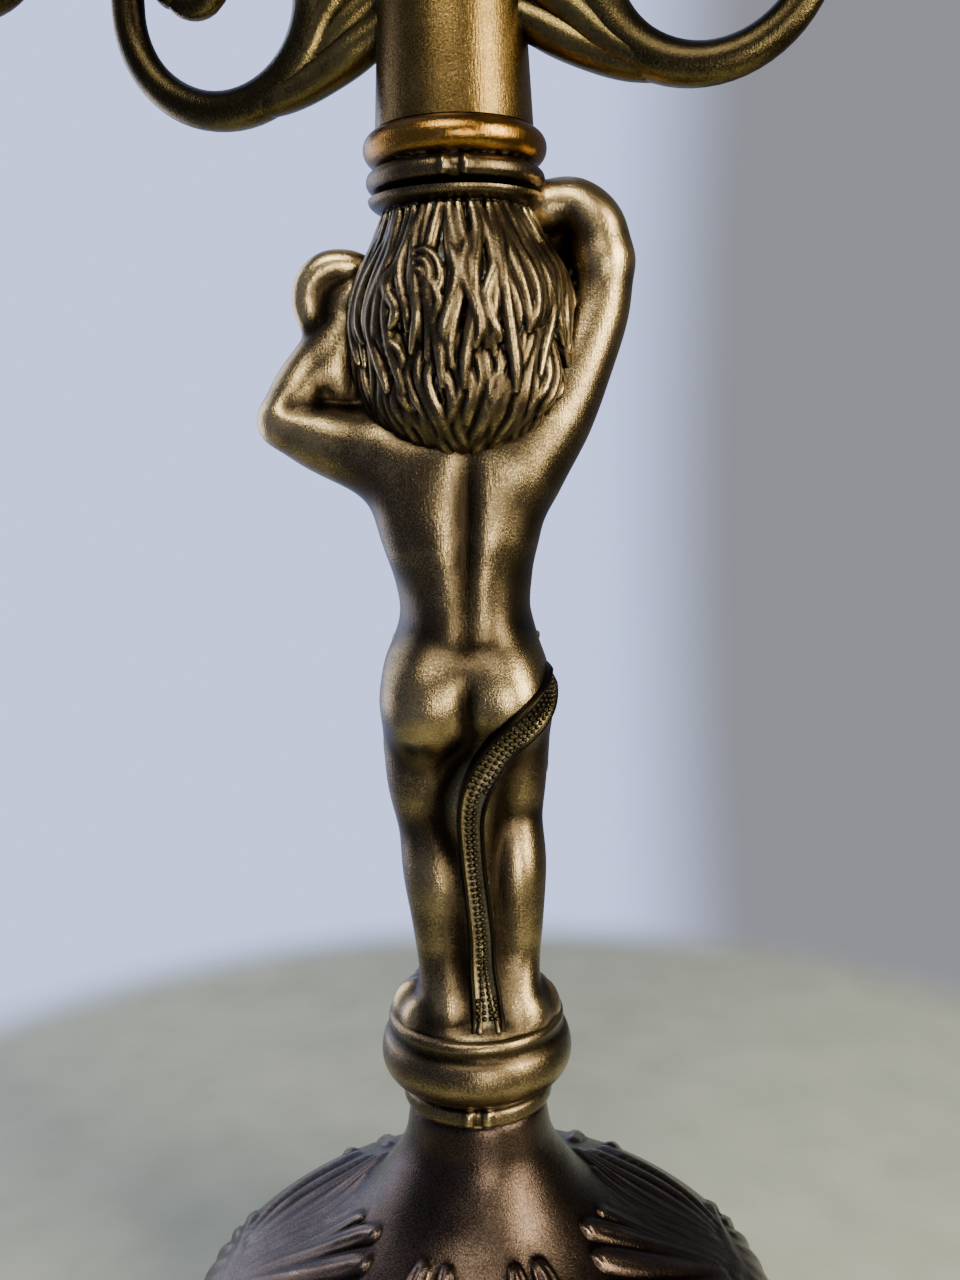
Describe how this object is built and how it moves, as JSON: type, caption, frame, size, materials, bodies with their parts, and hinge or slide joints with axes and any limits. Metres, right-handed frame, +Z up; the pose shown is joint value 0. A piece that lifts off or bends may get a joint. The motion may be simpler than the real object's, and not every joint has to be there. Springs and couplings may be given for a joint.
{
  "type": "tabletop candelabra",
  "caption": "Cast metal table candelabra: a domed base, a standing figure that carries a turning branch, scrolled side arms, drip pans and candle cups.",
  "frame": {"origin": "on the table, under the middle of the base", "axes": "+Z up along the column; the figure faces -Y and the arms run along X, turned 15 degrees about Z"},
  "size_m": [0.2332, 0.116, 0.3324],
  "materials": {
    "dark_bronze": "dark copper-brown patina, rubbed on the high parts",
    "antique_bronze": "antiqued: near-black hollows, golden rubbed highlights",
    "worn_brass": "satin, finely scratched along and round the column",
    "gilt_brass": "polished",
    "steel": "zinc plated",
    "felt": "felt"
  },
  "bodies": {
    "base": {"base_felt": "felt", "base_dome": "dark_bronze", "lower_nut": "steel", "lower_washer": "steel", "lower_rod": "steel", "plinth": "antique_bronze", "figure": "antique_bronze", "capital": "antique_bronze", "upper_rod": "steel"},
    "branch": {"column_ring": "gilt_brass", "column": "worn_brass", "column_collar": "antique_bronze", "centre_stem": "antique_bronze", "arm_left": "antique_bronze", "arm_right": "antique_bronze", "arm_seat_left": "antique_bronze", "arm_seat_right": "antique_bronze", "arm_stud_left": "steel", "arm_stud_right": "steel", "arm_nut_left": "steel", "arm_nut_right": "steel", "cup_screw_left": "steel", "cup_screw_right": "steel", "cup_screw_centre": "steel"},
    "pan_left": {"pan_left": "antique_bronze"},
    "cup_left": {"cup_left": "antique_bronze"},
    "pan_right": {"pan_right": "antique_bronze"},
    "cup_right": {"cup_right": "antique_bronze"},
    "pan_centre": {"pan_centre": "antique_bronze"},
    "cup_centre": {"cup_centre": "antique_bronze"}
  },
  "joints": [
    {"name": "branch_turn", "type": "hinge", "parent": "base", "child": "branch", "pos_m": [0, 0, 0.218], "axis": [0, 0, 1], "continuous": true},
    {"name": "pan_left_turn", "type": "hinge", "parent": "branch", "child": "pan_left", "pos_m": [0.0937, -0.0251, 0.278], "axis": [0, 0, 1], "continuous": true},
    {"name": "cup_left_turn", "type": "hinge", "parent": "branch", "child": "cup_left", "pos_m": [0.0937, -0.0251, 0.2794], "axis": [0, 0, 1], "continuous": true},
    {"name": "pan_right_turn", "type": "hinge", "parent": "branch", "child": "pan_right", "pos_m": [-0.0937, 0.0251, 0.278], "axis": [0, 0, 1], "continuous": true},
    {"name": "cup_right_turn", "type": "hinge", "parent": "branch", "child": "cup_right", "pos_m": [-0.0937, 0.0251, 0.2794], "axis": [0, 0, 1], "continuous": true},
    {"name": "pan_centre_turn", "type": "hinge", "parent": "branch", "child": "pan_centre", "pos_m": [0, 0, 0.303], "axis": [0, 0, 1], "continuous": true},
    {"name": "cup_centre_turn", "type": "hinge", "parent": "branch", "child": "cup_centre", "pos_m": [0, 0, 0.3044], "axis": [0, 0, 1], "continuous": true}
  ]
}
